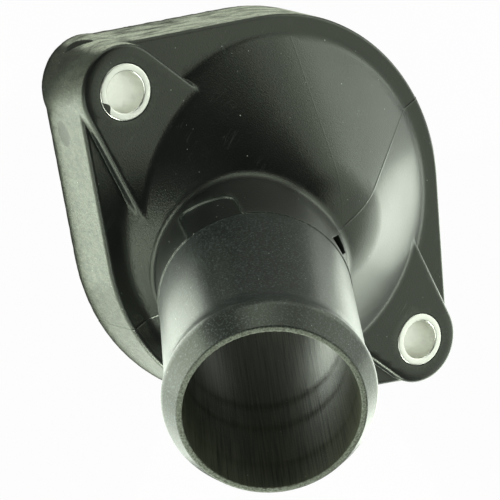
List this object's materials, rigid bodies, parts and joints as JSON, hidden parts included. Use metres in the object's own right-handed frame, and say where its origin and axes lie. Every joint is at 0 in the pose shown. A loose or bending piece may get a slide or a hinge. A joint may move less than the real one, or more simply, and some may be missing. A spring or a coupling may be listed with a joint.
{
  "type": "coolant outlet housing",
  "caption": "Moulded black coolant outlet with a two-ear flange, conical dome and leaning beaded hose neck, closing an engine's thermostat chamber; metal bolt sleeves and a face seal.",
  "frame": {"origin": "centre of the chamber's mouth, on the mounting face", "axes": "+Z out of the mounting face along the dome axis, +Y along the line of the two bolts; the hose neck leans towards +X and a little towards -Y"},
  "size_m": [0.0846, 0.0954, 0.0694],
  "materials": {
    "moulded_body": "satin moulded glass-filled nylon, black",
    "sleeve_metal": "turned, pale",
    "seal_rubber": "moulded rubber, black"
  },
  "bodies": {
    "root": {"housing": "moulded_body", "bolt_sleeve_left": "sleeve_metal", "bolt_sleeve_right": "sleeve_metal", "seal_ring": "seal_rubber"}
  },
  "joints": []
}
